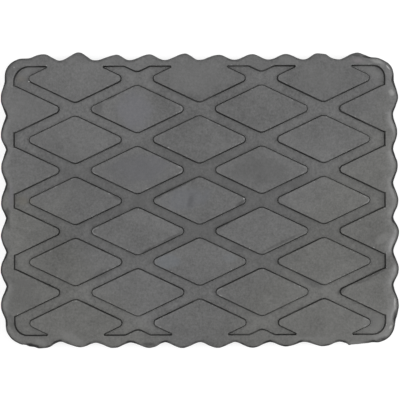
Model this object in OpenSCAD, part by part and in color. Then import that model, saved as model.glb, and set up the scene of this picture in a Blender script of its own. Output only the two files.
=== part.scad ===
// Rubber pad for the arm or platform of a car lift: one moulded block of rubber.
// The top is a lattice of shallow grooves that leaves rows of raised diamonds inside a plain border.
// The sides are wavy between plain rounded corners, and the underside is flat.
// Millimetres. +X runs along the pad, +Z is up, and the origin is the middle of the underside.

/* [Pad] */
// Length from the wave crests of one short side to those of the other
pad_length = 160; // [120:1:220]
// Width from the wave crests of one long side to those of the other
pad_width = 118; // [90:1:180]
// Thickness from the underside to the top of the diamonds
pad_thickness = 20; // [8:1:60]
// Radius of the four plain corners
corner_radius = 7.5; // [5:0.5:14]

/* [Rounded top edge] */
// How far the rounding reaches inward from the plain outline
rim_width = 1.8; // [1:0.1:2.6]
// How far the rounding drops at the outline
rim_drop = 1.2; // [0.4:0.1:3]

/* [Wavy sides] */
// Distance between two valleys on the long sides
long_side_pitch = 14; // [8:0.5:24]
// Distance between two valleys on the short sides
short_side_pitch = 13.75; // [8:0.25:24]
// Height of a typical crest above the plain outline
crest_rise = 1.6; // [0.8:0.1:2.4]
// Depth of the back long side's valleys below the plain outline
back_valley_dip = 0.8; // [0:0.1:1]
// Depth of the front long side's valleys
front_valley_dip = 0.3; // [0:0.1:1]
// Depth of the left short side's valleys
left_valley_dip = 0.4; // [0:0.1:1]
// Depth of the right short side's valleys
right_valley_dip = 0.4; // [0:0.1:1]
// Crest shape of the back long side: 1 is a plain wave, less is rounder and more is sharper
back_sharpness = 1; // [0.6:0.05:1.6]
// Crest shape of the front long side
front_sharpness = 0.85; // [0.6:0.05:1.6]
// Crest shape of the left short side
left_sharpness = 0.65; // [0.6:0.05:1.6]
// Crest shape of the right short side
right_sharpness = 0.8; // [0.6:0.05:1.6]

/* [Uneven moulding] */
// Share of the unevenness below that the waves have, where 0 makes them all alike
unevenness = 1; // [0:0.1:1]
// Extra height of each crest of the back long side, from left to right
back_crest_extra = [0.1, 0.8, -0.2, -0.1, 0.2, -0.3, -0.2, -0.1, 0.1, 0.3];
// How far each crest of the back long side leans to the right
back_crest_lean = [0.5, 0.6, 1.8, 1, 1.3, 0.8, 0.3, -0.1, -1.3, 0.4];
// Extra height of each crest of the front long side, from left to right
front_crest_extra = [0.3, -0.1, 0.3, 0.3, 0.4, 0.4, 0.4, -0.1, -0.1, -0.8];
// How far each crest of the front long side leans to the right
front_crest_lean = [-1.5, 0.9, 0.2, 0.8, -0.4, 0.1, 0.3, -0.4, 0.7, -2];
// Extra height of each crest of the left short side, from front to back
left_crest_extra = [0.3, 0.3, 0.1, 0, -0.1, 0, 0];
// How far each crest of the left short side leans to the back
left_crest_lean = [-0.6, -0.2, -0.2, -0.8, -0.3, -0.8, 0.2];
// Extra height of each crest of the right short side, from front to back
right_crest_extra = [0.1, 0.2, 0.3, 0.1, -0.1, -0.3, 0.1];
// How far each crest of the right short side leans to the back
right_crest_lean = [-0.9, -0.5, 0.8, -0.4, -0.2, -0.5, 0.1];

/* [Grooved field] */
// Border between the grooves and the plain outline at the short sides
border_at_short_sides = 3.8; // [2.8:0.1:12]
// Border between the grooves and the plain outline along the long sides
border_at_long_sides = 3.3; // [2.8:0.1:12]
// Radius of the corners of the grooved field
field_corner_radius = 6.3; // [2:0.1:12]
// Depth of the grooves
groove_depth = 2; // [0.5:0.1:4]
// How far a groove wall leans outward between its foot and its top
wall_lean = 0.4; // [0.2:0.1:0.9]

/* [Diamonds] */
// Length of a diamond from point to point, before its points are rounded
diamond_length = 41.3; // [34:0.1:43]
// Width of a diamond from point to point, before its points are rounded
diamond_width = 19.7; // [15:0.1:21]
// Distance between two diamonds in a row, along the pad
row_pitch = 50; // [47:0.1:60]
// Distance between two diamonds in a column, across the pad
column_pitch = 24.6; // [23:0.1:30]
// Radius of the narrow points at a diamond's two ends
end_point_radius = 1.6; // [0.8:0.1:2.5]
// Radius of the wide points at a diamond's two sides
side_point_radius = 3.3; // [1:0.1:6]

/* [Hidden] */

rubber_colour = [0.4, 0.4, 0.39];

// Straight steps that stand for one curve
flank_steps = 5;
corner_steps = 6;
rim_steps = 3;
end_point_steps = 8;
side_point_steps = 4;

// The plain outline lies one crest inside the overall size.
half_length = pad_length / 2 - crest_rise;
half_width = pad_width / 2 - crest_rise;
straight_length = 2 * (half_length - corner_radius);
straight_width = 2 * (half_width - corner_radius);
// Waves stop a little short of the corners, by at least this share of a wave.
least_plain_share = 0.02;

field_half_length = half_length - border_at_short_sides;
field_half_width = half_width - border_at_long_sides;
groove_floor = pad_thickness - groove_depth;
// The wall sizes are true halfway up, so the foot and the top each lean by half.
half_lean = wall_lean / 2;
// Cutting tools stand this far proud of the surface that they cut.
overcut = 1;

half_row_pitch = row_pitch / 2;
half_column_pitch = column_pitch / 2;
// Direction of a diamond's sloping edge, as the angle between its normal and +X
edge_normal = atan2(diamond_length, diamond_width);
columns_each_way = ceil((field_half_length + diamond_length / 2) / half_row_pitch);
rows_each_way = ceil((field_half_width + diamond_width / 2) / half_column_pitch);

// How far a diamond's middle lies outside the field, where 1 and more never touches it
function overhang(column, row) =
    max(0, abs(column) * half_row_pitch - field_half_length) / (diamond_length / 2)
    + max(0, abs(row) * half_column_pitch - field_half_width) / (diamond_width / 2);
most_overhang = 0.9;

// The points of a list in the opposite order
function reversed(list) = [for (i = [len(list) - 1 : -1 : 0]) list[i]];

// Points of an arc about a centre, both ends included
function arc(centre, radius, from, to, steps) = [
    for (i = [0 : steps])
        let (angle = from + (to - from) * i / steps)
            centre + radius * [cos(angle), sin(angle)]
];

// Rise from valley, 0, to crest, 1, as a smooth wave
function wave_ease(t, sharpness) = pow((1 - cos(180 * t)) / 2, sharpness);

// One point of a wave as [place along the side, height above the plain outline].
// Its first flank rises from a valley to the crest and its second one falls to the next valley.
function wave_point(start, pitch, lean, peak, lows, sharpness, step) =
    let (crest = start + pitch / 2 + lean)
        step <= flank_steps
            ? let (t = step / flank_steps)
                [start + t * (crest - start), lows[0] + (peak - lows[0]) * wave_ease(t, sharpness)]
            : let (t = 2 - step / flank_steps, end = start + pitch)
                [end - t * (end - crest), lows[1] + (peak - lows[1]) * wave_ease(t, sharpness)];

// The whole waves of one side, centred on it, in order along +X or +Y
function side_profile(run, pitch, dip, sharpness, leans, extras) =
    let (
        count = floor(run / pitch - least_plain_share),
        first = -count * pitch / 2
    )
        [
            [first, 0],
            for (wave = [0 : count - 1])
                let (
                    lean = unevenness * leans[wave % len(leans)],
                    peak = crest_rise + unevenness * extras[wave % len(extras)],
                    low_before = wave == 0 ? 0 : -dip,
                    low_after = wave == count - 1 ? 0 : -dip
                )
                    for (step = [1 : 2 * flank_steps])
                        wave_point(first + wave * pitch, pitch, lean, peak,
                            [low_before, low_after], sharpness, step)
        ];

back_side = side_profile(straight_length, long_side_pitch, back_valley_dip, back_sharpness,
    back_crest_lean, back_crest_extra);
front_side = side_profile(straight_length, long_side_pitch, front_valley_dip, front_sharpness,
    front_crest_lean, front_crest_extra);
left_side = side_profile(straight_width, short_side_pitch, left_valley_dip, left_sharpness,
    left_crest_lean, left_crest_extra);
right_side = side_profile(straight_width, short_side_pitch, right_valley_dip, right_sharpness,
    right_crest_lean, right_crest_extra);

// The outline of the pad, moved inward by inset and with its waves flattened to wave_share.
// Every such loop has its points at the same places along the sides, so loops can be joined.
function outline(inset, wave_share) =
    let (
        x = half_length - inset,
        y = half_width - inset,
        radius = corner_radius - inset,
        corner_x = half_length - corner_radius,
        corner_y = half_width - corner_radius
    )
        concat(
            [for (p = right_side) [x + wave_share * p[1], p[0]]],
            arc([corner_x, corner_y], radius, 0, 90, corner_steps),
            [for (p = reversed(back_side)) [p[0], y + wave_share * p[1]]],
            arc([-corner_x, corner_y], radius, 90, 180, corner_steps),
            [for (p = reversed(left_side)) [-x - wave_share * p[1], p[0]]],
            arc([-corner_x, -corner_y], radius, 180, 270, corner_steps),
            [for (p = front_side) [p[0], -y - wave_share * p[1]]],
            arc([corner_x, -corner_y], radius, 270, 360, corner_steps)
        );

// The grooved field's rounded rectangle, grown outward by grow
function field_loop(grow) =
    let (
        x = field_half_length - field_corner_radius,
        y = field_half_width - field_corner_radius,
        radius = field_corner_radius + grow
    )
        concat(
            arc([x, y], radius, 0, 90, corner_steps),
            arc([-x, y], radius, 90, 180, corner_steps),
            arc([-x, -y], radius, 180, 270, corner_steps),
            arc([x, -y], radius, 270, 360, corner_steps)
        );

// One diamond with rounded points about the origin, grown outward by grow
function diamond_loop(grow) =
    let (
        end_centre = [diamond_length / 2 - end_point_radius / cos(edge_normal), 0],
        side_centre = [0, diamond_width / 2 - side_point_radius / sin(edge_normal)],
        end_radius = end_point_radius + grow,
        side_radius = side_point_radius + grow,
        turn = edge_normal
    )
        concat(
            arc(end_centre, end_radius, -turn, turn, end_point_steps),
            arc(side_centre, side_radius, turn, 180 - turn, side_point_steps),
            arc(-end_centre, end_radius, 180 - turn, 180 + turn, end_point_steps),
            arc(-side_centre, side_radius, 180 + turn, 360 - turn, side_point_steps)
        );

// A closed solid through level loops, lowest first, each given as [height, points].
// Each loop runs anticlockwise round the Z axis, and its two ends are closed from that axis.
module loft(levels) {
    count = len(levels[0][1]);
    top_ring = (len(levels) - 1) * count;
    bottom_centre = len(levels) * count;
    top_centre = bottom_centre + 1;
    points = [
        for (level = levels)
            for (p = level[1])
                [p[0], p[1], level[0]],
        [0, 0, levels[0][0]],
        [0, 0, levels[len(levels) - 1][0]]
    ];
    faces = [
        for (i = [0 : count - 1])
            let (next = (i + 1) % count)
                each [
                    [bottom_centre, i, next],
                    [top_centre, top_ring + next, top_ring + i],
                    for (ring = [0 : len(levels) - 2])
                        let (low = ring * count, high = low + count)
                            each [[low + i, high + i, high + next], [low + i, high + next, low + next]]
                ]
    ];
    polyhedron(points = points, faces = faces);
}

// The block up to where its top edge starts to round over
module wavy_block() {
    linear_extrude(height = pad_thickness - rim_drop)
        polygon(outline(0, 1));
}

// The rounded top edge, in which the waves fade out towards the flat border
module rounded_crown() {
    loft([
        for (step = [0 : rim_steps])
            let (angle = 90 * step / rim_steps)
                [
                    pad_thickness - rim_drop + rim_drop * sin(angle),
                    outline(rim_width * (1 - cos(angle)), cos(angle))
                ]
    ]);
}

// One diamond, from the groove floor to above the top, with leaning walls
module diamond_boss() {
    lean_per_height = wall_lean / groove_depth;
    top_grow = -half_lean - 2 * overcut * lean_per_height;
    foot_grow = half_lean + overcut * lean_per_height;
    loft([
        [groove_floor - overcut, diamond_loop(foot_grow)],
        [pad_thickness + 2 * overcut, diamond_loop(top_grow)]
    ]);
}

// What the mould keeps free of rubber: the grooved field without its diamonds
module grooves() {
    lean_per_height = wall_lean / groove_depth;
    difference() {
        loft([
            [groove_floor, field_loop(-half_lean)],
            [pad_thickness + overcut, field_loop(half_lean + overcut * lean_per_height)]
        ]);
        for (column = [-columns_each_way : columns_each_way])
            for (row = [-rows_each_way : rows_each_way])
                if ((column + row) % 2 == 0 && overhang(column, row) < most_overhang)
                    translate([column * half_row_pitch, row * half_column_pitch, 0])
                        diamond_boss();
    }
}

module pad() {
    color(rubber_colour)
        difference() {
            union() {
                wavy_block();
                rounded_crown();
            }
            grooves();
        }
}

pad();
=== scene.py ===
"""Looks of the car lift rubber pad: one moulded block with diamonds, grooves and wavy sides.

The pad's sizes are in millimetres, as in its source, with the origin under its middle, the
long sides along X and the front towards minus Y. Blender's own objects are in metres.
"""

import math

import bpy
import numpy as np
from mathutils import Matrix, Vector, noise
from mathutils.geometry import delaunay_2d_cdt


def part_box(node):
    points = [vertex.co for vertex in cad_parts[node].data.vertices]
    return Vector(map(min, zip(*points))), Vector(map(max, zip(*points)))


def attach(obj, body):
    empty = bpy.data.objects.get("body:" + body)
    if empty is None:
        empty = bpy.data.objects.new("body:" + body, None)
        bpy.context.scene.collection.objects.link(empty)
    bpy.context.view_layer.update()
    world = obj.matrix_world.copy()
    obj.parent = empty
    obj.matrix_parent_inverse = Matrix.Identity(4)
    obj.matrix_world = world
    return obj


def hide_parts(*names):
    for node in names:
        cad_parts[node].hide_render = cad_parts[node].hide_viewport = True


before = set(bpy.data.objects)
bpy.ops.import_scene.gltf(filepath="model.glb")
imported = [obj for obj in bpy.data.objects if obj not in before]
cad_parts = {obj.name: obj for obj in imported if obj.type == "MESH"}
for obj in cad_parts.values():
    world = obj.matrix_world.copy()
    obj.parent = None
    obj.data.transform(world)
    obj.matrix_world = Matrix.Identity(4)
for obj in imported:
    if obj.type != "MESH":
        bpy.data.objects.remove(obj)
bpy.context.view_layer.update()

MM = 0.001

# Sizes of the pad, as in its source

LOW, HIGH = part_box("pad")
THICKNESS = (HIGH[2] - LOW[2]) / MM
CREST_RISE = 1.6  # of a typical crest above the plain outline
HALF_LENGTH = 160 / 2 - CREST_RISE  # to the plain outline
HALF_WIDTH = 118 / 2 - CREST_RISE
CORNER_RADIUS = 7.5
CORNER_X = HALF_LENGTH - CORNER_RADIUS
CORNER_Y = HALF_WIDTH - CORNER_RADIUS
RIM_WIDTH, RIM_DROP = 1.8, 1.2  # how far in and down the rounded top edge goes
# The waves of the long and short sides: from valley to valley, how far the valleys dip below the
# plain outline, and how sharp the crests are, where 1 is a plain wave and less is rounder
LONG_PITCH, SHORT_PITCH = 14, 13.75
LEAST_PLAIN_SHARE = 0.02  # of a wave, the least of a side that its waves leave plain
BACK_DIP, FRONT_DIP, LEFT_DIP, RIGHT_DIP = 0.8, 0.3, 0.4, 0.4
BACK_SHARPNESS, FRONT_SHARPNESS = 1, 0.85
LEFT_SHARPNESS, RIGHT_SHARPNESS = 0.65, 0.8
# Each crest's extra height, and how far it leans to the right or to the back
BACK_EXTRA = [0.1, 0.8, -0.2, -0.1, 0.2, -0.3, -0.2, -0.1, 0.1, 0.3]
BACK_LEAN = [0.5, 0.6, 1.8, 1, 1.3, 0.8, 0.3, -0.1, -1.3, 0.4]
FRONT_EXTRA = [0.3, -0.1, 0.3, 0.3, 0.4, 0.4, 0.4, -0.1, -0.1, -0.8]
FRONT_LEAN = [-1.5, 0.9, 0.2, 0.8, -0.4, 0.1, 0.3, -0.4, 0.7, -2]
LEFT_EXTRA = [0.3, 0.3, 0.1, 0, -0.1, 0, 0]
LEFT_LEAN = [-0.6, -0.2, -0.2, -0.8, -0.3, -0.8, 0.2]
RIGHT_EXTRA = [0.1, 0.2, 0.3, 0.1, -0.1, -0.3, 0.1]
RIGHT_LEAN = [-0.9, -0.5, 0.8, -0.4, -0.2, -0.5, 0.1]

# The field of grooves, from its middle to its edges, inside a plain border
BORDER_AT_SHORT_SIDES, BORDER_AT_LONG_SIDES = 3.8, 3.3
FIELD_X = HALF_LENGTH - BORDER_AT_SHORT_SIDES
FIELD_Y = HALF_WIDTH - BORDER_AT_LONG_SIDES
FIELD_RADIUS = 6.3
GROOVE_DEPTH = 2
WALL_LEAN = 0.4  # outward, between a groove wall's foot and its top
# The diamonds: half their length and width, the radii of their points, and half their pitches
DIAMOND_A, DIAMOND_B = 41.3 / 2, 19.7 / 2
END_RADIUS, SIDE_RADIUS = 1.6, 3.3
STEP_X, STEP_Y = 50 / 2, 24.6 / 2
COLUMNS, ROWS = 3, 5  # of half pitches, to each side of the middle

# Small things that the looks add, all within the source's box

# Radii of the field's corners, from the back right one anticlockwise: three are a little tighter
FIELD_RADII = [4.7, FIELD_RADIUS, 5.2, 5.2]
TIP_RADIUS = 0.3  # of the narrow ends that the grooves run out to at the long sides
TIP_ZONE = 3  # how near to such an end a place counts as part of it
RIM_SQUARENESS = 3  # 2 would be a plain quarter ellipse
# The moulded surface is uneven in a coarse and a fine way, and lies this far below the top
UNEVEN_SIZES = (9, 2.8)
UNEVEN_HEIGHTS = (0.04, 0.02)
UNEVEN_SEEDS = (3.1, 8.7)
SURFACE_SINK = 0.06
DOME_REACH = 3.6  # how far in from the outline the border still falls away
DOME_DROP_SHORT, DOME_DROP_LONG = 0.5, 0.05  # by how much, at the short and the long sides
WALL_ROUNDING = 0.1  # of the groove walls at their top and foot
BOTTOM_ROUNDING = 0.5
TRIM_NOISE = 0.12  # raggedness of the outline, where the moulding was trimmed
TRIM_NOISE_SIZE = 2.2
TRIM_NOISE_SEED = 0.7
# Places where the trimmed outline stands out or in: x, y, how far outward, and half its width
TRIM_MARKS = [
    (-69.5, -57.0, 0.75, 3.4),
    (-70.6, -58.0, -0.35, 0.9),
    (-68.9, -58.4, 0.35, 0.5),
    (-66.6, -59.0, -0.3, 1.2),
    (-61.0, -59.0, 0.35, 2.0),
    (-56.4, -57.2, -0.4, 2.4),
    (79.0, -47.0, 0.65, 2.2),
    (74.0, 55.5, -0.45, 2.5),
    (60.0, -58.0, 0.4, 0.6),
    (51.0, 58.3, 0.4, 1.1),
]

# Diamond ends rubbed pale, with a painted highlight, just inside their edge: column, row, and 1 for
# the right
RUBBED_GLINTING_ENDS = [
    (-1, 1, 1),
    (-1, 3, 1),
    (0, 2, 1),
    (1, 1, 1),
    (2, -4, 1),
    (2, 0, 1),
    (-1, -1, -1),
    (-1, 1, -1),
    (0, -4, -1),
    (1, -3, -1),
]
END_GLINT_REACH = 2.8
# The rim's painted shade is broader beside the valleys
VALLEY_HEIGHT = 0.8  # how high the waves' flanks count as valleys, where the rim is darker

# How finely the surface is drawn

# The material sees how far it is from a groove's edge and from the outline, up to these distances
EDGE_REACH = 4
OUTLINE_REACH = 6
OUTLINE_SEARCH = OUTLINE_REACH + 1
SURELY_INSIDE = 2  # so far inside the plain outline, everything is inside the trimmed one
FLANK_STEPS = 12
CORNER_STEPS = 20
FIELD_CORNER_STEPS = 16
END_STEPS, SIDE_STEPS, TIP_STEPS = 12, 6, 8  # round a diamond's points and the narrow ends
RIM_ANGLES = [0, 8, 18, 29, 40, 51, 62, 72, 81, 90]
BOTTOM_ANGLES = [22.5, 45, 67.5, 90]
# Distances from a groove's edge with a line of points each, minus towards the groove
WALL_LINES = [-0.9, -0.5, -0.35, -0.25, -0.15, -0.05, 0.05, 0.15, 0.25, 0.35, 0.5, 0.9]
# How far apart the points lie, along those lines and over the flat places between them
LINE_SPACING = 0.8
GRID_SPACING = 1.6
SIDE_LEVELS = 12


def arc(centre, radius, start, end, steps):
    """Points of an arc about a centre, both ends included, with angles in degrees."""
    t = np.radians(np.linspace(start, end, steps + 1))
    return np.column_stack([centre[0] + radius * np.cos(t), centre[1] + radius * np.sin(t)])


# The wavy outline


def side_profile(run, pitch, dip, sharpness, leans, extras):
    """One side's waves as rows of [place along the side, height above the plain outline]."""
    count = math.floor(run / pitch - LEAST_PLAIN_SHARE)
    first = -count * pitch / 2
    rows = [(first, 0.0)]
    for k in range(count):
        start = first + k * pitch
        end = start + pitch
        crest = start + pitch / 2 + leans[k % len(leans)]
        peak = CREST_RISE + extras[k % len(extras)]
        low_before = 0 if k == 0 else -dip
        low_after = 0 if k == count - 1 else -dip
        for step in range(1, 2 * FLANK_STEPS + 1):
            rising = step <= FLANK_STEPS
            t = step / FLANK_STEPS if rising else 2 - step / FLANK_STEPS
            ease = ((1 - math.cos(math.pi * t)) / 2) ** sharpness
            low = low_before if rising else low_after
            place = start + t * (crest - start) if rising else end - t * (end - crest)
            rows.append((place, low + (peak - low) * ease))
    return np.array(rows)


LONG_RUN, SHORT_RUN = 2 * CORNER_X, 2 * CORNER_Y
BACK = side_profile(LONG_RUN, LONG_PITCH, BACK_DIP, BACK_SHARPNESS, BACK_LEAN, BACK_EXTRA)
FRONT = side_profile(LONG_RUN, LONG_PITCH, FRONT_DIP, FRONT_SHARPNESS, FRONT_LEAN, FRONT_EXTRA)
LEFT = side_profile(SHORT_RUN, SHORT_PITCH, LEFT_DIP, LEFT_SHARPNESS, LEFT_LEAN, LEFT_EXTRA)
RIGHT = side_profile(SHORT_RUN, SHORT_PITCH, RIGHT_DIP, RIGHT_SHARPNESS, RIGHT_LEAN, RIGHT_EXTRA)


def outline(inset, wave_share):
    """The pad's outline moved inward, with its waves flattened to wave_share."""
    x, y = HALF_LENGTH - inset, HALF_WIDTH - inset
    radius = CORNER_RADIUS - inset
    back, left = BACK[::-1], LEFT[::-1]
    return np.vstack([
        np.column_stack([x + wave_share * RIGHT[:, 1], RIGHT[:, 0]]),
        arc((CORNER_X, CORNER_Y), radius, 0, 90, CORNER_STEPS),
        np.column_stack([back[:, 0], y + wave_share * back[:, 1]]),
        arc((-CORNER_X, CORNER_Y), radius, 90, 180, CORNER_STEPS),
        np.column_stack([-x - wave_share * left[:, 1], left[:, 0]]),
        arc((-CORNER_X, -CORNER_Y), radius, 180, 270, CORNER_STEPS),
        np.column_stack([FRONT[:, 0], -y - wave_share * FRONT[:, 1]]),
        arc((CORNER_X, -CORNER_Y), radius, 270, 360, CORNER_STEPS),
    ])


def loop_normals(loop):
    """Outward normals of an anticlockwise closed loop."""
    along = np.roll(loop, -1, axis=0) - np.roll(loop, 1, axis=0)
    normal = np.column_stack([along[:, 1], -along[:, 0]])
    return normal / np.linalg.norm(normal, axis=1)[:, None]


def trim():
    """How far each point of the outline is moved, by the ragged trim and its marks."""
    loop = outline(0, 1)
    at = [Vector((x / TRIM_NOISE_SIZE, y / TRIM_NOISE_SIZE, TRIM_NOISE_SEED)) for x, y in loop]
    out = np.array([TRIM_NOISE * noise.noise(where) for where in at])
    for x, y, far, half in TRIM_MARKS:
        away = np.hypot(loop[:, 0] - x, loop[:, 1] - y) / half
        out += far * np.exp(-(away**2))
    moved = loop + loop_normals(loop) * out[:, None]
    low, high = np.array(LOW[:2]) / MM, np.array(HIGH[:2]) / MM
    return np.clip(moved, low, high) - loop


TRIM = trim()


def rim_section(angle):
    """How far out and up the rounded edge has come there, as shares from 0 to 1."""
    turned, power = math.radians(angle), 2 / RIM_SQUARENESS
    return max(math.cos(turned), 0) ** power, math.sin(turned) ** power


def rim_loop(angle):
    """The loop of the rounded top edge at one place of its section."""
    out, _ = rim_section(angle)
    return outline(RIM_WIDTH * (1 - out), out) + out * TRIM


# The grooves in plan

EDGE_TURN = math.atan2(DIAMOND_A, DIAMOND_B)
END_CENTRE = DIAMOND_A - END_RADIUS / math.cos(EDGE_TURN)
SIDE_CENTRE = DIAMOND_B - SIDE_RADIUS / math.sin(EDGE_TURN)
# Where the fourth row's diamonds meet the field's long sides, and the angle between them there
TIP_ANGLE = math.atan2(DIAMOND_B, DIAMOND_A)
TIP_START = DIAMOND_A * (1 - (FIELD_Y - 4 * STEP_Y) / DIAMOND_B)
TIP_X = TIP_START + TIP_RADIUS / math.tan(TIP_ANGLE / 2)


def diamond_distance(x, y):
    """Signed distance to the outline of one diamond about the origin, minus inside."""
    x, y = abs(x), abs(y)
    edge = (x - DIAMOND_A) * math.cos(EDGE_TURN) + y * math.sin(EDGE_TURN)
    at_end = np.arctan2(y, x - END_CENTRE) < EDGE_TURN
    at_side = np.arctan2(y - SIDE_CENTRE, x) > EDGE_TURN
    end = np.hypot(x - END_CENTRE, y) - END_RADIUS
    side = np.hypot(x, y - SIDE_CENTRE) - SIDE_RADIUS
    return np.where(at_end, end, np.where(at_side, side, edge))


def lattice_distance(x, y):
    """Signed distance to the nearest diamond of the lattice, which has none at the corners."""
    left, below = np.floor(x / STEP_X), np.floor(y / STEP_Y)
    odd = (left + below) % 2 != 0
    nearest = np.inf
    for column, row in ((left + odd, below), (left + 1 - odd, below + 1)):
        at_corner = (abs(column) == COLUMNS) & (abs(row) == ROWS)
        distance = diamond_distance(x - STEP_X * column, y - STEP_Y * row)
        nearest = np.minimum(nearest, np.where(at_corner, np.inf, distance))
    return nearest


def rectangle_distance(x, y, half_x, half_y, radius):
    """Signed distance to a rounded rectangle about the origin, minus inside."""
    qx, qy = abs(x) - (half_x - radius), abs(y) - (half_y - radius)
    outside = np.hypot(np.maximum(qx, 0), np.maximum(qy, 0))
    return outside + np.minimum(np.maximum(qx, qy), 0) - radius


def field_distance(x, y):
    """Signed distance to the outline of the field of grooves, minus inside."""
    back_right, back_left, front_left, front_right = FIELD_RADII
    back = np.where(x > 0, back_right, back_left)
    front = np.where(x > 0, front_right, front_left)
    return rectangle_distance(x, y, FIELD_X, FIELD_Y, np.where(y > 0, back, front))


def edge_distance(x, y):
    """Signed distance to the nearest groove edge, minus over the groove."""
    field = field_distance(x, y)
    sharp = np.maximum(field, -lattice_distance(x, y))
    # The narrow ends are rounded about a centre a little way into the groove.
    u = abs(x - 2 * STEP_X * np.clip(np.round(x / (2 * STEP_X)), -1, 1)) - TIP_X
    v = FIELD_Y - TIP_RADIUS - abs(y)
    behind = (u < 0) & (u * math.cos(TIP_ANGLE) + v * math.sin(TIP_ANGLE) < 0)
    near = (u > TIP_START - TIP_X - TIP_ZONE) & (abs(v) < TIP_ZONE)
    return np.where(behind & near, np.hypot(u, v) - TIP_RADIUS, sharp)


def groove_drop(distance):
    """Depth of the surface below the faces, at a distance from a groove's edge."""

    def area_under_clamp(t):
        return np.where(t < 0, 0, np.where(t > 1, t - 0.5, t * t / 2))

    t = 0.5 - distance / WALL_LEAN
    soft = WALL_ROUNDING / WALL_LEAN
    return GROOVE_DEPTH * (area_under_clamp(t + soft) - area_under_clamp(t - soft)) / (2 * soft)


def border_drop(x, y, inward):
    """How far the border falls away below the flat top, at a distance in from the outline."""
    past_x, past_y = np.maximum(abs(x) - CORNER_X, 0), np.maximum(abs(y) - CORNER_Y, 0)
    short = past_x / np.maximum(past_x + past_y, 1e-9)
    drop = DOME_DROP_LONG + (DOME_DROP_SHORT - DOME_DROP_LONG) * short
    return drop * np.clip(1 - inward / DOME_REACH, 0, 1) ** 2


def diamond_loop(grow):
    """The outline of one diamond about the origin, moved outward by grow."""
    turn = math.degrees(EDGE_TURN)
    return np.vstack([
        arc((END_CENTRE, 0), END_RADIUS + grow, -turn, turn, END_STEPS),
        arc((0, SIDE_CENTRE), SIDE_RADIUS + grow, turn, 180 - turn, SIDE_STEPS),
        arc((-END_CENTRE, 0), END_RADIUS + grow, 180 - turn, 180 + turn, END_STEPS),
        arc((0, -SIDE_CENTRE), SIDE_RADIUS + grow, 180 + turn, 360 - turn, SIDE_STEPS),
    ])


def field_loop(grow):
    """The outline of the field of grooves, moved outward by grow."""
    corners = []
    for quarter, radius in enumerate(FIELD_RADII):
        side_x, side_y = (1, -1, -1, 1)[quarter], (1, 1, -1, -1)[quarter]
        centre = (side_x * (FIELD_X - radius), side_y * (FIELD_Y - radius))
        start = 90 * quarter
        corners.append(arc(centre, radius + grow, start, start + 90, FIELD_CORNER_STEPS))
    return np.vstack(corners)


def tip_arcs(grow):
    """The rounded narrow ends of the grooves along the long sides."""
    if TIP_RADIUS + grow <= 0:
        return []
    start = 90 + math.degrees(TIP_ANGLE)
    one = arc((TIP_X, TIP_RADIUS), TIP_RADIUS + grow, start, 270, TIP_STEPS)
    out = []
    for centre in (-2 * STEP_X, 0, 2 * STEP_X):
        for side in (-1, 1):
            for end in (-1, 1):
                x, y = centre + end * one[:, 0], side * (FIELD_Y - one[:, 1])
                out.append(np.column_stack([x, y]))
    return out


def spaced(loop, spacing):
    """A closed loop's points, with long straight stretches divided."""
    out = []
    for a, b in zip(loop, np.roll(loop, -1, axis=0)):
        parts = max(1, round(math.dist(a, b) / spacing))
        out += [a + (b - a) * i / parts for i in range(parts)]
    return np.array(out)


def hex_grid():
    """A loose grid of points over the flat places, clear of the drawn lines."""
    rise = GRID_SPACING * math.sqrt(3) / 2
    nx, ny = int(HALF_LENGTH / GRID_SPACING), int(HALF_WIDTH / rise)
    j, i = np.mgrid[-ny : ny + 1, -nx : nx + 1]
    x, y = ((i + 0.5 * (j % 2)) * GRID_SPACING).ravel(), (j * rise).ravel()
    inside = rectangle_distance(x, y, HALF_LENGTH, HALF_WIDTH, CORNER_RADIUS)
    clear = abs(edge_distance(x, y)) > WALL_LINES[-1] + GRID_SPACING / 3
    keep = clear & (inside < -RIM_WIDTH - GRID_SPACING / 4)
    return np.column_stack([x, y])[keep]


def top_plan():
    """The top's points and lines in plan. The rim's loops come first, each as long as TRIM."""
    points, lines = [], []

    def add_line(path, keep, closed):
        """Adds a path's stretches between points where at least one is kept."""
        index = {}
        for i in range(len(path) if closed else len(path) - 1):
            j = (i + 1) % len(path)
            if keep[i] or keep[j]:
                for k in (i, j):
                    if k not in index:
                        index[k] = len(points)
                        points.append(path[k])
                lines.append((index[i], index[j]))

    for angle in RIM_ANGLES:
        add_line(rim_loop(angle), np.ones(len(TRIM), bool), True)
    for line in WALL_LINES:
        loops = [spaced(field_loop(line), LINE_SPACING)]
        diamond = spaced(diamond_loop(-line), LINE_SPACING)
        for i in range(-COLUMNS, COLUMNS + 1):
            for j in range(-ROWS, ROWS + 1):
                if (i + j) % 2 == 0:
                    loops.append(diamond + [i * STEP_X, j * STEP_Y])
        for path, closed in [(p, True) for p in loops] + [(p, False) for p in tip_arcs(line)]:
            on_line = abs(edge_distance(path[:, 0], path[:, 1]) - line) < 1e-6
            add_line(path, on_line, closed)
    return np.vstack([points, hex_grid()]), lines


def outline_distance(p):
    """How far each point lies from the trimmed outline, up to a little past the border."""
    a = rim_loop(0)
    along = np.roll(a, -1, axis=0) - a
    away = np.full(len(p), float(OUTLINE_SEARCH))
    plain = rectangle_distance(p[:, 0], p[:, 1], HALF_LENGTH, HALF_WIDTH, CORNER_RADIUS)
    for k in np.flatnonzero(plain > -OUTLINE_SEARCH):
        t = np.clip(((p[k] - a) * along).sum(axis=1) / (along**2).sum(axis=1), 0, 1)
        away[k] = np.linalg.norm(a + along * t[:, None] - p[k], axis=1).min()
    return away


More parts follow.
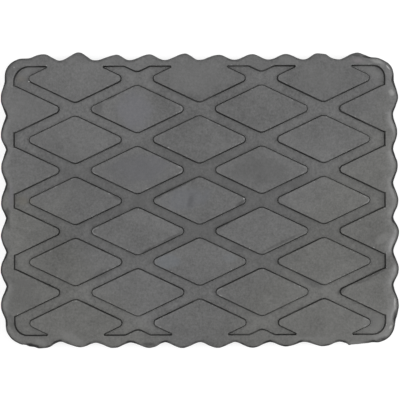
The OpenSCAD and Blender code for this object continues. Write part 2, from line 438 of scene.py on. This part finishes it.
def inside_outline(p):
    """Which points lie inside the trimmed outline."""
    loop = rim_loop(0)
    after = np.roll(loop, -1, axis=0)
    inside = np.ones(len(p), bool)
    plain = rectangle_distance(p[:, 0], p[:, 1], HALF_LENGTH, HALF_WIDTH, CORNER_RADIUS)
    for k in np.flatnonzero(plain > -SURELY_INSIDE):
        x, y = p[k]
        spans = (loop[:, 1] > y) != (after[:, 1] > y)
        a, b = loop[spans], after[spans]
        crossing = a[:, 0] + (y - a[:, 1]) * (b[:, 0] - a[:, 0]) / (b[:, 1] - a[:, 1])
        inside[k] = np.count_nonzero(crossing > x) % 2 == 1
    return inside


def end_wear_and_glint(x, y):
    """1 at the rounding of a rubbed end with a painted highlight, falling to 0 at END_GLINT_REACH
    from it.
    """
    wear = np.zeros(len(x))
    for column, row, side in RUBBED_GLINTING_ENDS:
        u, v = x - STEP_X * column - side * END_CENTRE, y - STEP_Y * row
        wear = np.maximum(wear, 1 - np.hypot(u, v) / END_GLINT_REACH)
    return wear


def valley(x, y, inward):
    """1 beside the valleys between the waves, falling to 0 at their flanks and in the corners."""
    height = rectangle_distance(x, y, HALF_LENGTH, HALF_WIDTH, CORNER_RADIUS) + inward
    corner = (abs(x) > CORNER_X) & (abs(y) > CORNER_Y)
    return np.where(corner, 0, np.clip(1 - height / VALLEY_HEIGHT, 0, 1))


def unevenness(x, y):
    """Slow unevenness of the moulded surface, in millimetres."""
    total = 0
    for size, height, seed in zip(UNEVEN_SIZES, UNEVEN_HEIGHTS, UNEVEN_SEEDS):
        waves = [noise.noise(Vector((a / size, b / size, seed))) for a, b in zip(x, y)]
        total = total + height * np.array(waves)
    return total


# The pad's mesh


def side_levels(top):
    """Height and inset of each ring down the side wall, with its rounding at the bottom."""
    levels = [(h, 0.0) for h in np.linspace(top, BOTTOM_ROUNDING, SIDE_LEVELS + 1)[1:]]
    for angle in BOTTOM_ANGLES:
        turned = math.radians(angle)
        drop = BOTTOM_ROUNDING * (1 - math.sin(turned))
        levels.append((drop, BOTTOM_ROUNDING * (1 - math.cos(turned))))
    return levels


def build_pad():
    """The pad's mesh: the top over its plan, then rings down the sides to the flat underside."""
    plan, lines = top_plan()
    found, _, faces, sources, _, _ = delaunay_2d_cdt([Vector(p) for p in plan], lines, [], 0, 1e-5)
    xy = np.array(found)
    place = {source: i for i, where in enumerate(sources) for source in where}
    polys = np.array(faces)
    polys = [tuple(t) for t in polys[inside_outline(xy[polys].mean(axis=1))]]

    to_edge = edge_distance(xy[:, 0], xy[:, 1])
    inward = outline_distance(xy)
    z = THICKNESS - groove_drop(to_edge) - border_drop(xy[:, 0], xy[:, 1], inward)
    z += unevenness(xy[:, 0], xy[:, 1]) - SURFACE_SINK
    count = len(TRIM)
    for step, angle in enumerate(RIM_ANGLES):
        index = [place[step * count + i] for i in range(count)]
        z[index] -= RIM_DROP * (1 - rim_section(angle)[1])
    points = [(*p, h) for p, h in zip(xy, z)]

    outer = rim_loop(0)
    normals = loop_normals(outer)
    ring = [place[i] for i in range(count)]
    for height, inset in side_levels(top=z[place[0]]):
        start = len(points)
        points += [(*p, height) for p in outer - normals * inset]
        new = list(range(start, start + count))
        for i in range(count):
            j = (i + 1) % count
            polys.append((ring[i], new[i], new[j], ring[j]))
        ring = new
    polys.append(tuple(reversed(ring)))

    mesh = bpy.data.meshes.new("rubber_pad")
    mesh.from_pydata([Vector(p) * MM for p in points], [], polys)
    mesh.update()
    # What the material knows of each point; the sides and the underside count as the outline.
    below = np.zeros(len(points) - len(xy))
    for name, values in (
        ("to_edge", np.append(np.clip(to_edge, -EDGE_REACH, EDGE_REACH), below + EDGE_REACH)),
        ("inward", np.append(np.clip(inward, 0, OUTLINE_REACH), below)),
        ("end_wear_and_glint", np.append(end_wear_and_glint(xy[:, 0], xy[:, 1]), below)),
        ("valley", np.append(valley(xy[:, 0], xy[:, 1], inward), below)),
    ):
        mesh.attributes.new(name, "FLOAT", "POINT").data.foreach_set("value", values)
    mesh.polygons.foreach_set("use_smooth", [True] * len(mesh.polygons))
    mesh.polygons[-1].use_smooth = False  # the underside
    pad = bpy.data.objects.new("rubber_pad", mesh)
    bpy.context.collection.objects.link(pad)
    return pad


# Rubber


class Nodes:
    """Short calls for the nodes of one material."""

    def __init__(self, name):
        self.material = bpy.data.materials.new(name)
        self.material.use_nodes = True
        self.tree = self.material.node_tree
        self.shader = self.tree.nodes["Principled BSDF"]
        self.coords = self.tree.nodes.new("ShaderNodeTexCoord")
        self.ragged = self.noise(3, 3, 20.0)

    def put(self, value, socket):
        """Links or sets a socket."""
        if isinstance(value, bpy.types.NodeSocket):
            self.tree.links.new(value, socket)
        else:
            socket.default_value = value

    def math(self, operation, *values):
        """A Math node's result."""
        node = self.tree.nodes.new("ShaderNodeMath")
        node.operation = operation
        for value, socket in zip(values, node.inputs):
            self.put(value, socket)
        return node.outputs[0]

    def noise(self, size_mm, detail, seed, rough=0.55, stretch=(1, 1, 1)):
        """Cloudy noise with features about size_mm across, mostly within 0.3 to 0.7."""
        where = self.tree.nodes.new("ShaderNodeMapping")
        where.inputs["Scale"].default_value = stretch
        self.put(self.coords.outputs["Object"], where.inputs["Vector"])
        node = self.tree.nodes.new("ShaderNodeTexNoise")
        node.noise_dimensions = "4D"
        node.inputs["W"].default_value = seed
        node.inputs["Scale"].default_value = 1 / (size_mm * MM)
        node.inputs["Detail"].default_value = detail
        node.inputs["Roughness"].default_value = rough
        self.put(where.outputs[0], node.inputs["Vector"])
        return node.outputs["Fac"]

    def attribute(self, name):
        """One of the values that build_pad() gives to each point."""
        node = self.tree.nodes.new("ShaderNodeAttribute")
        node.attribute_name = name
        return node.outputs["Fac"]

    def axes(self, coordinate):
        """The X, Y and Z of a texture coordinate, such as Object or Normal."""
        node = self.tree.nodes.new("ShaderNodeSeparateXYZ")
        self.put(self.coords.outputs[coordinate], node.inputs[0])
        return node.outputs

    def ramp(self, value, start, end, low=0.0, high=1.0):
        """Eases from low to high as value goes from start to end."""
        node = self.tree.nodes.new("ShaderNodeMapRange")
        node.interpolation_type = "SMOOTHSTEP"
        self.put(value, node.inputs["Value"])
        limits = {"From Min": start, "From Max": end, "To Min": low, "To Max": high}
        for name, number in limits.items():
            node.inputs[name].default_value = number
        return node.outputs["Result"]

    def mix(self, share, a, b, blend="MIX"):
        """Mixes two colours, which are greys where a number is given."""
        node = self.tree.nodes.new("ShaderNodeMix")
        node.data_type = "RGBA"
        node.blend_type = blend
        for value, socket in zip((share, a, b), (node.inputs[0], node.inputs[6], node.inputs[7])):
            if isinstance(value, tuple):
                value = (*value, 1)
            elif isinstance(value, float) and socket is not node.inputs[0]:
                value = (value, value, value, 1)
            self.put(value, socket)
        return node.outputs[2]

    def patch(self, x, y, along, across, turn, warp):
        """1 within a soft-edged oval spot of the top, 0 around it, with sizes in millimetres."""
        where = self.tree.nodes.new("ShaderNodeMapping")
        where.vector_type = "TEXTURE"
        where.inputs["Location"].default_value = (x * MM, y * MM, THICKNESS * MM)
        where.inputs["Rotation"].default_value = (0, 0, math.radians(turn))
        sizes = (along, across, SPOT_DEPTH)
        where.inputs["Scale"].default_value = [size * SPOT_REACH * MM for size in sizes]
        self.put(self.coords.outputs["Object"], where.inputs["Vector"])
        # 1 at the middle, falling to 0 at SPOT_REACH times the half sizes
        near = self.tree.nodes.new("ShaderNodeTexGradient")
        near.gradient_type = "SPHERICAL"
        self.put(where.outputs[0], near.inputs["Vector"])
        ragged = self.math("MULTIPLY", self.ragged, warp)
        ragged = self.math("MULTIPLY_ADD", near.outputs["Fac"], -SPOT_REACH, ragged)
        middle = warp / 2 - SPOT_REACH
        return self.ramp(ragged, 1.0 + middle, SPOT_CORE + middle)


# Greys of the rubber's looks, all as linear values
DUST = (0.076, 0.157)  # the dust and bloom of the level faces, from its darkest to its palest
# The grooves' darker grey stands for their dirt and their painted shade
DIRT_AND_SHADE = 0.07  # in the grooves
# The top's dark grey also paints the shade of the groove walls and the rim
BARE_AND_SHADE = (0.002, 0.03)  # the rubber itself, where it shows on the top
SIDE = (0.018, 0.048)  # the rubber down the sides, and its faint streaks
LOW_DUST = 0.15  # what the sides picked up near the floor
# Pale grey of rubbing, which also paints highlights on the border and along the grooves' edges
RUBBED_AND_SHEEN_GREY = 0.308
WARMTH = (0.99, 0.986, 0.945)  # multiplied in where the greys are warm
SPECULAR = 0.2

# Clouds in the dust: size in millimetres, detail, seed and share
CLOUDS = [
    (45, 1, 1.0, 0.8),
    (16, 2, 2.0, 0.7),
    (5, 3, 3.0, 0.6),
    (1.3, 3, 4.0, 0.9),
]
# The warmth of the greys grows away from the line at WARM_X and falls towards the back, for each
# metre
WARM_X = -10
WARM_SIDEWAYS, WARM_BACKWARD = 10.0, -8.5
# The pad's middle, where the grooves are darkened by dirt and painted shade: an oval as the spots
# below, without a share
MIDDLE = (2, -2, 96, 44, 0, 0.6)

# How far down from the top the spots below reach, in millimetres
SPOT_DEPTH = 6
# How far out a spot's distance is measured, and where it is full, in its half sizes
SPOT_REACH = 3
SPOT_CORE = 0.35
# Tints in the dust: x, y, half sizes, turn, how ragged, share, and the colour or grey that they
# tend to. The first ones are the cool and warm patches of single diamonds and short sides.
SPOTS = [
    (-5, 1, 12, 6, 8, 1.2, 0.5, (0.126, 0.131, 0.145)),
    (-26, 36, 11, 9, 100, 1.0, 0.5, (0.146, 0.146, 0.165)),
    (-22, 13, 13, 7, 0, 1.2, 0.4, (0.138, 0.138, 0.154)),
    (-13, -24.5, 7, 4, 0, 1.2, 0.4, (0.146, 0.161, 0.178)),
    (12, -23, 4, 2.5, 0, 1.0, 0.35, (0.153, 0.163, 0.173)),
    (-71.9, 49.3, 3, 2.4, 0, 1.2, 0.6, (0.148, 0.138, 0.118)),
    (-71.2, 0, 4.5, 2.8, 0, 1.0, 0.5, (0.148, 0.138, 0.116)),
    (-75.8, 1.5, 1.6, 6, 0, 1.0, 0.4, (0.13, 0.124, 0.144)),
    (64, 56, 3.5, 1.6, 0, 1.0, 0.5, (0.203, 0.183, 0.193)),
    # Darker diamonds and dirtier places on the faces and in the grooves
    (25, 12, 17, 8, 0, 1.0, 0.45, 0.078),
    (-26, 12, 17, 8, 0, 1.0, 0.45, (0.084, 0.084, 0.09)),
    (-50, 12, 14, 18, 0, 1.0, 0.3, 0.088),
    (-74, -38, 14, 10, 0, 1.0, 0.35, (0.088, 0.088, 0.086)),
    (-3.5, 0, 4.2, 2.2, 80, 1.2, 0.5, (0.06, 0.06, 0.066)),
    (-70, -33, 5, 2.2, -20, 1.5, 0.5, (0.106, 0.104, 0.103)),
    (-40, -30, 7, 2.8, 35, 1.0, 0.45, 0.05),
    (-40.5, 37.4, 3.8, 2.2, 66, 1.0, 0.45, 0.05),
    (40, 7.5, 7, 2.8, 28, 1.0, 0.6, 0.073),
    (-25, -0.5, 6, 3.6, 50, 1.0, 0.5, 0.068),
    (45, -33.5, 6.5, 2.4, -15, 1.0, 0.55, 0.073),
    (70, -49.2, 4.5, 3.2, 60, 1.0, 0.75, 0.073),
    # Paler places
    (73.5, -15.5, 4.5, 2.4, 36, 1.0, 0.5, (0.2, 0.2, 0.194)),
    (9, -7.2, 3.8, 1.7, 17, 1.2, 0.45, 0.19),
    (0, 49, 19, 9, 0, 1.0, 0.4, 0.158),
    (50, 49, 14, 7, 0, 1.0, 0.3, (0.138, 0.138, 0.136)),
    (-72, 37, 14, 9, 0, 1.0, 0.35, 0.148),
    (72, -51, 9, 8, 35, 1.0, 0.5, (0.188, 0.188, 0.182)),
    (69, 52.5, 9, 3, -34, 1.0, 0.5, (0.168, 0.168, 0.166)),
    (-69.7, 52, 6, 3, 40, 1.0, 0.5, 0.158),
    (-50.5, 56.8, 3.2, 1.3, 40, 1.5, 0.4, (0.163, 0.163, 0.16)),
    (-51.5, -55.5, 7, 2.8, -30, 1.0, 0.5, (0.188, 0.188, 0.183)),
    (-63.7, -56.9, 4, 1.8, -12, 1.0, 0.5, (0.188, 0.188, 0.183)),
    (45, -56.5, 12, 3, 0, 1.0, 0.45, (0.168, 0.168, 0.163)),
    (36, 56.5, 6, 2.6, -18, 1.0, 0.45, 0.168),
    (-10, 41, 5, 2.8, -18, 1.0, 0.45, 0.158),
]
# The pale rubbing and painted highlight of the border by the short sides, in the same form without
# the colour: it is stronger in the first places and missing in the others.
RUBBED_AND_SHEEN = [
    (76.4, 32, 2.2, 6, 15, 1.0, 0.9),
    (76.6, -44, 3.5, 6, -10, 1.0, 1.5),
    (74.8, -16, 5.5, 6.5, -10, 1.0, 1.2),
    (77.4, -29, 2, 2.6, 0, 1.0, 0.8),
    (-78, -42, 2.6, 3.6, 0, 1.0, 1.2),
    (-78.2, 28.2, 2, 4.4, 0, 1.0, 0.9),
]
LESS_RUBBED_AND_SHEEN = [
    (76.5, 24, 2.6, 7, 0, 1.0, 0.9),
    (76.8, -24, 2.4, 4, 0, 1.0, 0.9),
    (77, 38.5, 2.2, 5, -30, 1.0, 0.8),
    (75.5, 50, 5.5, 2.2, -60, 1.0, 0.7),
    (76.4, -36.5, 2, 3.4, 20, 1.0, 0.7),
    (-77, -8, 2.6, 7, 0, 1.0, 1.0),
    (-77, -24, 2.2, 9, 0, 1.0, 0.9),
    (-77, 37, 2.2, 5, 0, 1.0, 0.9),
    (78.1, -46.4, 1.1, 3, -15, 1.0, 0.7),
]
# Dark creases and painted shadows, drawn in the bare rubber's grey
DARK_MARKS = [
    (-67, -58.2, 3.6, 1.0, -14, 1.2, 1.0),
    (73.2, -55.9, 3.4, 1.3, 18, 2.5, 0.85),
    (78.3, -47.2, 0.9, 3.8, 0, 1.0, 1.0),
    (68.2, 57.4, 4.2, 0.8, -8, 1.0, 0.9),
    (63.3, 58.1, 3.0, 0.7, -8, 1.2, 0.5),
    (-76.4, 51.5, 8, 2.0, 70, 1.0, 0.4),
    (-75.8, -49, 5.5, 2, -62, 1.0, 0.4),
    (-76.6, -32, 3.4, 2.2, -20, 1.0, 0.35),
    (-77.4, -6.7, 6, 1.6, -85, 1.0, 0.45),
    (-77.2, 6.4, 4.6, 1.2, 88, 1.0, 0.5),
    (-21, -57.6, 3.2, 1.0, -2, 1.0, 0.5),
    (78.3, -46.5, 0.9, 3.2, -15, 1.0, 0.6),
    (-10, 5, 14, 1.0, 26, 1.0, 0.5),
    (32.4, -17.3, 12, 0.8, 26, 1.0, 0.35),
    (10, -9.7, 6, 0.9, 25, 1.0, 0.45),
    (-16.3, 1.8, 5, 1.0, 28, 1.0, 0.45),
    (71, -29.4, 5.2, 1.0, 26, 1.0, 0.5),
    (-43, -11.9, 2.8, 1.3, 78, 1.0, 0.45),
    (16.6, -1, 3, 1.0, 33, 1.0, 0.5),
    (-35, 41.7, 3.4, 1.0, 29, 1.0, 0.5),
    (-20.3, -19.5, 4.2, 1.0, 30, 1.0, 0.5),
    (-33.8, 1.7, 3, 1.2, -32, 1.0, 0.4),
    (-11.5, -15, 9, 0.9, 26, 1.0, 0.4),
    (57, -36.6, 3.4, 1.2, 43, 1.0, 0.5),
    (64.5, -32.8, 5, 1.0, 17, 1.0, 0.4),
]
# Places where the painted shade of a wall's dark line is fainter
FAINTER_WALL_SHADE = [
    (-69.3, 49.6, 1.6, 1.2, 50, 1.0, 0.7),
    (-71, 31, 9, 1.2, -26, 1.0, 0.35),
    (38, 22, 12, 1.4, 26, 1.0, 0.35),
    (20, -53.6, 13, 2.0, 3, 1.0, 0.6),
    (0, 54.3, 22, 1.6, 0, 1.0, 0.5),
    (14.8, 54.6, 6, 2.2, 0, 1.0, 0.9),
    (-1, -39.6, 4.5, 1.6, 12, 1.0, 0.7),
    (4, 42, 8, 1.4, 25, 1.0, 0.45),
    (52.6, -16.3, 7, 1.4, -25, 1.0, 0.45),
]
# Small pale marks over everything: as the tints
PALE_MARKS = [
    (63.1, -57.6, 4.0, 1.3, 3, 1.2, 0.8, (0.178, 0.178, 0.173)),
    (-68.6, 48.2, 0.55, 0.33, 10, 0.8, 1.0, 0.548),
    (17.8, 0.6, 0.5, 0.3, 10, 0.8, 1.0, 0.548),
    # The next four, along the right rim, are painted highlights
    (75.8, 53.4, 1.5, 0.3, -50, 1.5, 0.7, 0.498),
    (77.3, 43.3, 1.5, 1.7, 0, 1.2, 0.35, (0.398, 0.398, 0.388)),
    (78.3, -41.5, 0.7, 3.2, 0, 1.0, 0.5, (0.468, 0.468, 0.458)),
    (76.6, -51.2, 1.4, 0.7, 60, 1.0, 0.5, (0.428, 0.428, 0.418)),
    (71.2, 55.8, 3.6, 1.3, -17, 1.0, 0.3, (0.4, 0.4, 0.39)),
    (-74.4, 53.8, 0.4, 0.3, 0, 0.8, 0.6, 0.348),
]


def level_dust_and_groove_shade(n, to_edge, groove, middle, place):
    """Colour of the dust and bloom on the level faces and in the grooves, with the grooves' dirt
    and painted shade.
    """
    tone = 0.5
    for size, detail, seed, share in CLOUDS:
        tone = n.math("MULTIPLY_ADD", n.noise(size, detail, seed), share, tone)
        tone = n.math("SUBTRACT", tone, share / 2)
    # The groove floors are paler away from the middle, cloudier, and more specked.
    pale_floor = n.math("MULTIPLY", n.math("SUBTRACT", 1.0, middle), groove)
    tone = n.math("MULTIPLY_ADD", pale_floor, 0.14, tone)
    cloudy_floor = n.math("MULTIPLY", n.math("SUBTRACT", n.noise(4, 3, 18.0), 0.5), groove)
    tone = n.math("MULTIPLY_ADD", cloudy_floor, 0.6, tone)
    speck = n.math("SUBTRACT", n.noise(0.8, 2, 5.0, 0.7), 0.5)
    tone = n.math("MULTIPLY_ADD", speck, n.ramp(to_edge, 0.2, -0.6, 1.3, 1.9), tone)
    dust = n.mix(tone, *DUST)

    # Greys lean warm towards the front and the short sides, most on the right, and cool in patches
    sideways = n.math("ABSOLUTE", n.math("SUBTRACT", place["X"], WARM_X * MM))
    backward = n.math("MULTIPLY", place["Y"], WARM_BACKWARD)
    warm = n.math("MULTIPLY_ADD", sideways, WARM_SIDEWAYS, backward)
    warm = n.math("MULTIPLY_ADD", n.noise(22, 2, 6.0), 0.6, warm)
    dust = n.mix(n.ramp(warm, 0.7, 1.0), dust, WARMTH, "MULTIPLY")
    for *oval, share, tint in SPOTS:
        dust = n.mix(n.math("MULTIPLY", n.patch(*oval), share), dust, tint)

    # Painted shade darkens the grooves along the foot of their walls, and dirt and painted shade in
    # the pad's middle
    foot = n.ramp(to_edge, -1.6, -0.2, 0.0, 0.14)
    dirt_and_shade = n.math("MULTIPLY", n.math("MULTIPLY_ADD", middle, 0.38, foot), groove)
    return n.mix(dirt_and_shade, dust, DIRT_AND_SHADE)


def bare_and_shade_mask(n, inward, place, short_side):
    """Share of the dark rubber colour: painted shade on the steep groove walls and along the
    outermost rim, the bare rubber down the sides, and the dark marks.
    """
    normal = n.axes("Normal")
    # Steep faces get the painted shade
    noisy_levelness = n.math("MULTIPLY_ADD", n.noise(1.5, 3, 7.0), 0.3, normal["Z"])
    steep = n.ramp(noisy_levelness, 0.85, 0.5)
    for *oval, share in FAINTER_WALL_SHADE:
        steep = n.math("MULTIPLY", steep, n.ramp(n.patch(*oval), 0.0, 1.0, 1.0, 1 - share))
    at_rim = n.ramp(inward, 2.6, 1.8)
    walls = n.ramp(n.noise(9, 2, 16.0), 0.35, 0.6, 0.58, 1.05)
    outer = n.math("SUBTRACT", n.math("MULTIPLY_ADD", short_side, 0.25, 0.75), walls)
    steep = n.math("MULTIPLY", steep, n.math("MULTIPLY_ADD", at_rim, outer, walls))

    # The rim's dark line is painted shade. It is ragged, and broader in the valleys between the
    # waves. Along the long sides it is broken, and weaker on the flanks of the waves.
    ragged = n.math("MULTIPLY_ADD", n.noise(1.2, 3, 14.0), 0.5, inward)
    ragged = n.math("MULTIPLY_ADD", n.math("SUBTRACT", n.noise(6, 2, 17.0), 0.5), 0.9, ragged)
    ragged = n.math("MULTIPLY_ADD", n.attribute("valley"), -0.42, ragged)
    long_side = n.ramp(place["Y"], -40 * MM, 40 * MM, 0.66, 0.25)
    flank = n.ramp(n.math("ABSOLUTE", normal["X"]), 0.1, 0.4, 1.0, 0.3)
    dashes = n.ramp(n.noise(4.5, 1, 25.0), 0.42, 0.58, 0.35, 1.5)
    long_side = n.math("MULTIPLY", long_side, n.math("MULTIPLY", flank, dashes))
    side = n.math("MAXIMUM", short_side, long_side)
    rim = n.math("MULTIPLY", n.ramp(ragged, 1.08, 0.55), side)
    bare_and_shade_share = n.math("MAXIMUM", steep, rim)
    for *oval, share in DARK_MARKS:
        mark = n.math("MULTIPLY", n.patch(*oval), share)
        bare_and_shade_share = n.math("MAXIMUM", bare_and_shade_share, mark)
    return bare_and_shade_share


def bare_and_shade_rubber(n, outside, place):
    """Colour of the bare rubber, with faint upright streaks and low dust down the sides; on the top
    it also paints shade.
    """
    bare = n.mix(n.noise(3, 4, 8.0), *BARE_AND_SHADE)
    streaks = n.math("MULTIPLY", n.noise(1.4, 3, 21.0, stretch=(1, 1, 0.3)), n.noise(9, 2, 22.0))
    side = n.mix(n.ramp(streaks, 0.12, 0.42), *SIDE)
    low_dust = n.ramp(place["Z"], 4 * MM, 0.0, 0.0, 0.35)
    side = n.mix(n.math("MULTIPLY", low_dust, n.noise(2, 3, 23.0)), side, LOW_DUST)
    return n.mix(outside, bare, side)


def border_rubbing_and_sheen(n, inward, place):
    """How far the border is rubbed pale and painted with a highlight just inside the rim, most on
    the right.
    """
    to_right = n.ramp(place["X"], 68 * MM, 76 * MM, 0.02, 0.34)
    to_left = n.ramp(place["X"], -70 * MM, -76 * MM, 0.0, 0.14)
    band = n.math("MULTIPLY_ADD", n.ramp(inward, 3.2, 1.3), 0.6, n.ramp(inward, 6.0, 2.0, 0.0, 0.4))
    band = n.math("MULTIPLY", band, n.ramp(inward, 0.6, 1.5))
    band = n.math("MULTIPLY", band, n.math("ADD", to_right, to_left))
    patchy = n.ramp(n.noise(4.5, 3, 15.0), 0.32, 0.66, 0.25, 1.5)
    for *oval, share in RUBBED_AND_SHEEN:
        patchy = n.math("MULTIPLY_ADD", n.patch(*oval), share, patchy)
    for *oval, share in LESS_RUBBED_AND_SHEEN:
        patchy = n.math("MULTIPLY", patchy, n.ramp(n.patch(*oval), 0.0, 1.0, 1.0, 1 - share))
    return n.math("MULTIPLY", band, patchy)


def edge_rubbing_and_glint(n, to_edge):
    """Rubbed spots along the grooves' edges, and the rubbed ends of some diamonds, as two shares;
    both paint a highlight too.
    """
    at_edge = n.math("MULTIPLY", n.ramp(to_edge, 0.1, 0.35), n.ramp(to_edge, 1.0, 0.5))
    spots = n.math("MULTIPLY", n.ramp(n.noise(1.1, 2, 9.0), 0.62, 0.71), at_edge)
    ends = n.ramp(n.attribute("end_wear_and_glint"), 0.05, 0.5, 0.0, 0.4)
    ends = n.math("MULTIPLY", ends, n.ramp(n.noise(1.5, 3, 24.0), 0.38, 0.56, 0.1, 1.0))
    return n.math("MULTIPLY", spots, 0.6), n.math("MULTIPLY", ends, at_edge)


def grain(n, border, outside):
    """Height of the surface's grain in millimetres, coarser on the border and the sides."""
    height = n.math("MULTIPLY", n.noise(0.45, 3, 11.0, 0.6), 0.035)
    height = n.math("MULTIPLY_ADD", n.noise(2.2, 3, 12.0), 0.05, height)
    coarse = n.math("MULTIPLY", n.noise(1.0, 3, 13.0), n.math("ADD", border, outside))
    return n.math("MULTIPLY_ADD", coarse, 0.09, height)


def rubber():
    """The pad's one material: black rubber under dust, rubbed pale and bare in places, with painted
    shade and highlights.
    """
    n = Nodes("moulded_rubber")
    to_edge = n.attribute("to_edge")
    inward = n.attribute("inward")
    place = n.axes("Object")
    groove = n.ramp(to_edge, -0.1, -0.5)
    outside = n.ramp(inward, 0.3, 0.0)
    short_side = n.ramp(n.math("ABSOLUTE", place["X"]), 66 * MM, 76 * MM)

    # Dust, with the grooves' dirt and painted shade in it
    dust = level_dust_and_groove_shade(n, to_edge, groove, n.patch(*MIDDLE), place)
    bare_and_shade_share = bare_and_shade_mask(n, inward, place, short_side)
    colour = n.mix(bare_and_shade_share, dust, bare_and_shade_rubber(n, outside, place))
    # Pale rubbing and painted highlights on the border and along the grooves' edges
    colour = n.mix(border_rubbing_and_sheen(n, inward, place), colour, RUBBED_AND_SHEEN_GREY)
    for share in edge_rubbing_and_glint(n, to_edge):
        colour = n.mix(share, colour, RUBBED_AND_SHEEN_GREY)
    for *oval, share, tint in PALE_MARKS:
        colour = n.mix(n.math("MULTIPLY", n.patch(*oval), share), colour, tint)
    n.put(colour, n.shader.inputs["Base Color"])

    border = n.math("MULTIPLY", n.ramp(inward, 4.5, 1.5), short_side)
    rough = n.math("MULTIPLY_ADD", n.noise(4, 3, 10.0), 0.2, 0.4)
    rough = n.math("MULTIPLY_ADD", border, -0.16, rough)
    n.put(rough, n.shader.inputs["Roughness"])

    # Fine grain, faint ripples, and a coarser texture on the border and the sides
    bump = n.tree.nodes.new("ShaderNodeBump")
    bump.inputs["Strength"].default_value = 1.0
    bump.inputs["Distance"].default_value = MM
    n.put(grain(n, border, outside), bump.inputs["Height"])
    n.shader.inputs["Specular IOR Level"].default_value = SPECULAR
    n.put(bump.outputs[0], n.shader.inputs["Normal"])
    return n.material


pad = build_pad()
pad.data.materials.append(rubber())
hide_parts("pad")
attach(pad, "root")

# Floor, light and camera

FLOOR_HALF = 0.6
FLOOR_GREY = 0.75  # as it lights the pad
# As the camera sees it: a part that takes the pad's shadow and a glow that makes up the white
FLOOR_SHADOW = 0.4
FLOOR_GLOW = 0.74
WORLD_LEVEL = 0.42
# Softboxes: name, place, size and power
SOFTBOXES = [
    ("overhead", (0.0, 0.2, 1.2), (0.9, 0.9), 2.4),
    ("right_strip", (0.5, 0.0, 0.95), (0.2, 1.2), 4.5),
    ("left_strip", (-0.5, 0.0, 0.95), (0.2, 1.2), 2.0),
]


def seen_directly(nodes, links):
    """1 for the rays that show the background itself, straight or in gloss or glass."""
    path = nodes.new("ShaderNodeLightPath")
    seen = path.outputs["Is Camera Ray"]
    for kind in ("Is Glossy Ray", "Is Transmission Ray"):
        either = nodes.new("ShaderNodeMath")
        either.operation = "MAXIMUM"
        links.new(seen, either.inputs[0])
        links.new(path.outputs[kind], either.inputs[1])
        seen = either.outputs[0]
    return seen


def floor():
    """Lights the pad as a pale floor, and shows white with the pad's soft shadow."""
    mesh = bpy.data.meshes.new("floor")
    h = FLOOR_HALF
    mesh.from_pydata([(-h, -h, 0), (h, -h, 0), (h, h, 0), (-h, h, 0)], [], [(0, 1, 2, 3)])
    obj = bpy.data.objects.new("floor", mesh)
    bpy.context.collection.objects.link(obj)
    material = bpy.data.materials.new("pale_floor")
    material.use_nodes = True
    nodes, links = material.node_tree.nodes, material.node_tree.links
    nodes.clear()
    plain = nodes.new("ShaderNodeBsdfDiffuse")
    plain.inputs["Color"].default_value = (FLOOR_GREY, FLOOR_GREY, FLOOR_GREY, 1)
    shaded = nodes.new("ShaderNodeBsdfDiffuse")
    shaded.inputs["Color"].default_value = (FLOOR_SHADOW, FLOOR_SHADOW, FLOOR_SHADOW, 1)
    glow = nodes.new("ShaderNodeEmission")
    glow.inputs["Strength"].default_value = FLOOR_GLOW
    seen = nodes.new("ShaderNodeAddShader")
    links.new(shaded.outputs[0], seen.inputs[0])
    links.new(glow.outputs[0], seen.inputs[1])
    mix = nodes.new("ShaderNodeMixShader")
    links.new(seen_directly(nodes, links), mix.inputs[0])
    links.new(plain.outputs[0], mix.inputs[1])
    links.new(seen.outputs[0], mix.inputs[2])
    out = nodes.new("ShaderNodeOutputMaterial")
    links.new(mix.outputs[0], out.inputs[0])
    mesh.materials.append(material)


def softbox(name, place, size, power):
    """A rectangular light aimed at the pad."""
    light = bpy.data.lights.new(name, "AREA")
    light.shape = "RECTANGLE"
    light.size, light.size_y = size
    light.energy = power
    obj = bpy.data.objects.new(name, light)
    obj.location = place
    obj.rotation_euler = (-Vector(place)).to_track_quat("-Z", "Y").to_euler()
    bpy.context.collection.objects.link(obj)


def studio_world():
    """An even white room: plain light for the pad, and full white where it is seen."""
    world = bpy.data.worlds.new("studio")
    world.use_nodes = True
    nodes, links = world.node_tree.nodes, world.node_tree.links
    nodes["Background"].inputs["Color"].default_value = (1, 1, 1, 1)
    strength = nodes.new("ShaderNodeMapRange")
    links.new(seen_directly(nodes, links), strength.inputs["Value"])
    strength.inputs["To Min"].default_value = WORLD_LEVEL
    strength.inputs["To Max"].default_value = 1.0
    links.new(strength.outputs["Result"], nodes["Background"].inputs["Strength"])
    bpy.context.scene.world = world


# The photograph looks straight down. The pad's middle lies at CENTRE_PX of its 400 pixels.
PHOTO_PX = 400
CENTRE_PX = (199.66, 200.46)
MM_PER_PIXEL = 0.4019
TURN_DEG = 0.215
CAMERA_HEIGHT = 0.7
SENSOR = 36


def photo_camera():
    """The camera straight above, turned and shifted as the photograph's."""
    data = bpy.data.cameras.new("photo_camera")
    data.sensor_width = SENSOR
    data.lens = SENSOR * CAMERA_HEIGHT / (PHOTO_PX * MM_PER_PIXEL * MM)
    camera = bpy.data.objects.new("photo_camera", data)
    x = (PHOTO_PX / 2 - CENTRE_PX[0]) * MM_PER_PIXEL * MM
    y = (CENTRE_PX[1] - PHOTO_PX / 2) * MM_PER_PIXEL * MM
    camera.location = (x, y, THICKNESS * MM + CAMERA_HEIGHT)
    camera.rotation_euler = (0, 0, -math.radians(TURN_DEG))
    bpy.context.collection.objects.link(camera)
    bpy.context.scene.camera = camera


floor()
studio_world()
for one in SOFTBOXES:
    softbox(*one)
photo_camera()
bpy.context.scene.view_settings.view_transform = "Standard"

bpy.context.view_layer.update()
